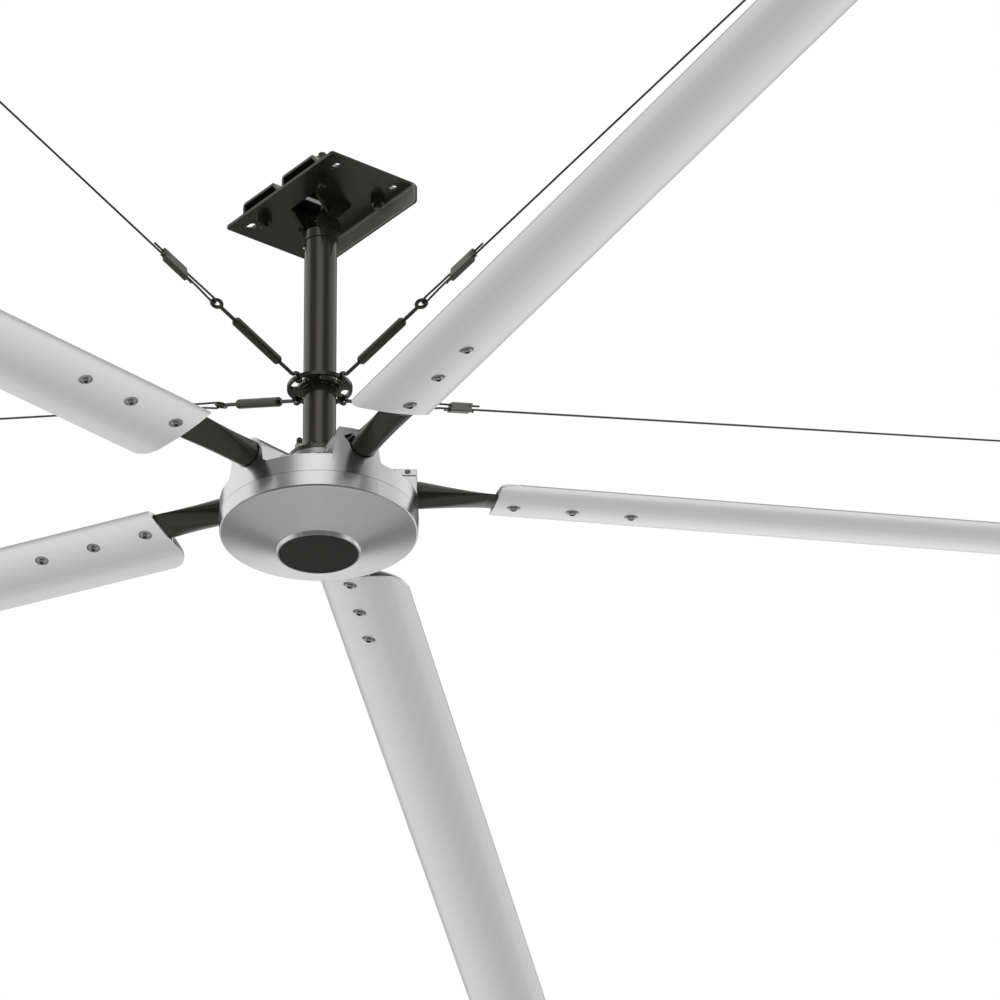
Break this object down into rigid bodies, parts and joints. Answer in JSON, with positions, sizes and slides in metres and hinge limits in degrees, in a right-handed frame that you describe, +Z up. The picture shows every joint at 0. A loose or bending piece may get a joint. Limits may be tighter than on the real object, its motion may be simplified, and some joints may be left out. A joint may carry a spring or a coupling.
{
  "type": "industrial ceiling fan",
  "caption": "Large slow industrial ceiling fan: long aerofoil blades on a cast hub under a down tube, with a beam mounting plate and a guy ring braced by turnbuckles and wires.",
  "frame": {"origin": "centre of the mounting plate's top face, on the axis of the down tube", "axes": "+Z up along the axis of rotation, +X along the long side of the mounting plate"},
  "size_m": [3.4899, 3.4618, 0.8444],
  "materials": {
    "dark_coat": "satin powder coat, dark bronze",
    "dark_hardware": "dark coated steel",
    "wire_steel": "dark coated wire rope",
    "hub_aluminium": "satin cast and turned aluminium",
    "badge_black": "satin black",
    "bolt_zinc": "zinc plated",
    "gland_black": "black nylon",
    "blade_silver": "clear anodised extrusion",
    "motor_steel": "bare steel",
    "copper": "enamelled copper wire"
  },
  "bodies": {
    "hanger": {"mounting_plate": "dark_coat", "beam_clamp_1": "dark_coat", "beam_clamp_2": "dark_coat", "clamp_studs": "dark_hardware", "clamp_nuts": "dark_hardware", "pivot_bolt": "dark_hardware", "pivot_nut": "dark_hardware", "hanger_yoke": "dark_coat", "down_tube": "dark_coat", "tube_flange": "dark_coat", "flange_bolts": "dark_hardware", "gland_base": "bolt_zinc", "cable_gland": "gland_black", "guy_ring": "dark_coat", "ring_screws": "dark_hardware", "turnbuckle_hooks": "dark_hardware", "turnbuckle_eyes": "dark_hardware", "motor_shaft": "motor_steel", "stator_core": "motor_steel", "stator_coils": "copper", "guy_wire_1": "wire_steel", "wire_grip_1": "dark_hardware", "wire_end_1": "wire_steel", "guy_wire_2": "wire_steel", "wire_grip_2": "dark_hardware", "wire_end_2": "wire_steel", "guy_wire_3": "wire_steel", "wire_grip_3": "dark_hardware", "wire_end_3": "wire_steel", "guy_wire_4": "wire_steel", "wire_grip_4": "dark_hardware", "wire_end_4": "wire_steel"},
    "rotor": {"hub_casting": "hub_aluminium", "bottom_cover": "hub_aluminium", "badge_disc": "badge_black", "cover_screws": "bolt_zinc", "upper_bearing": "motor_steel", "lower_bearing": "motor_steel", "magnet_ring": "motor_steel", "arm_screws": "bolt_zinc", "blade_bolts": "bolt_zinc", "tip_caps": "blade_silver", "blade_arm_1": "dark_coat", "blade_arm_2": "dark_coat", "blade_arm_3": "dark_coat", "blade_arm_4": "dark_coat", "blade_arm_5": "dark_coat", "blade_1": "blade_silver", "blade_2": "blade_silver", "blade_3": "blade_silver", "blade_4": "blade_silver", "blade_5": "blade_silver"},
    "turnbuckle_1": {"turnbuckle_1": "dark_hardware"},
    "turnbuckle_2": {"turnbuckle_2": "dark_hardware"},
    "turnbuckle_3": {"turnbuckle_3": "dark_hardware"},
    "turnbuckle_4": {"turnbuckle_4": "dark_hardware"}
  },
  "joints": [
    {"name": "rotor_spin", "type": "hinge", "parent": "hanger", "child": "rotor", "pos_m": [0, 0, -0.52], "axis": [0, 0, 1], "continuous": true},
    {"name": "turnbuckle_1_turn", "type": "hinge", "parent": "hanger", "child": "turnbuckle_1", "pos_m": [0.12658, 0.01833, -0.28631], "axis": [0.9318, 0.1349, 0.3371], "continuous": true},
    {"name": "turnbuckle_2_turn", "type": "hinge", "parent": "hanger", "child": "turnbuckle_2", "pos_m": [-0.01833, 0.12658, -0.28631], "axis": [-0.1349, 0.9318, 0.3371], "continuous": true},
    {"name": "turnbuckle_3_turn", "type": "hinge", "parent": "hanger", "child": "turnbuckle_3", "pos_m": [-0.12658, -0.01833, -0.28631], "axis": [-0.9318, -0.1349, 0.3371], "continuous": true},
    {"name": "turnbuckle_4_turn", "type": "hinge", "parent": "hanger", "child": "turnbuckle_4", "pos_m": [0.01833, -0.12658, -0.28631], "axis": [0.1349, -0.9318, 0.3371], "continuous": true}
  ]
}
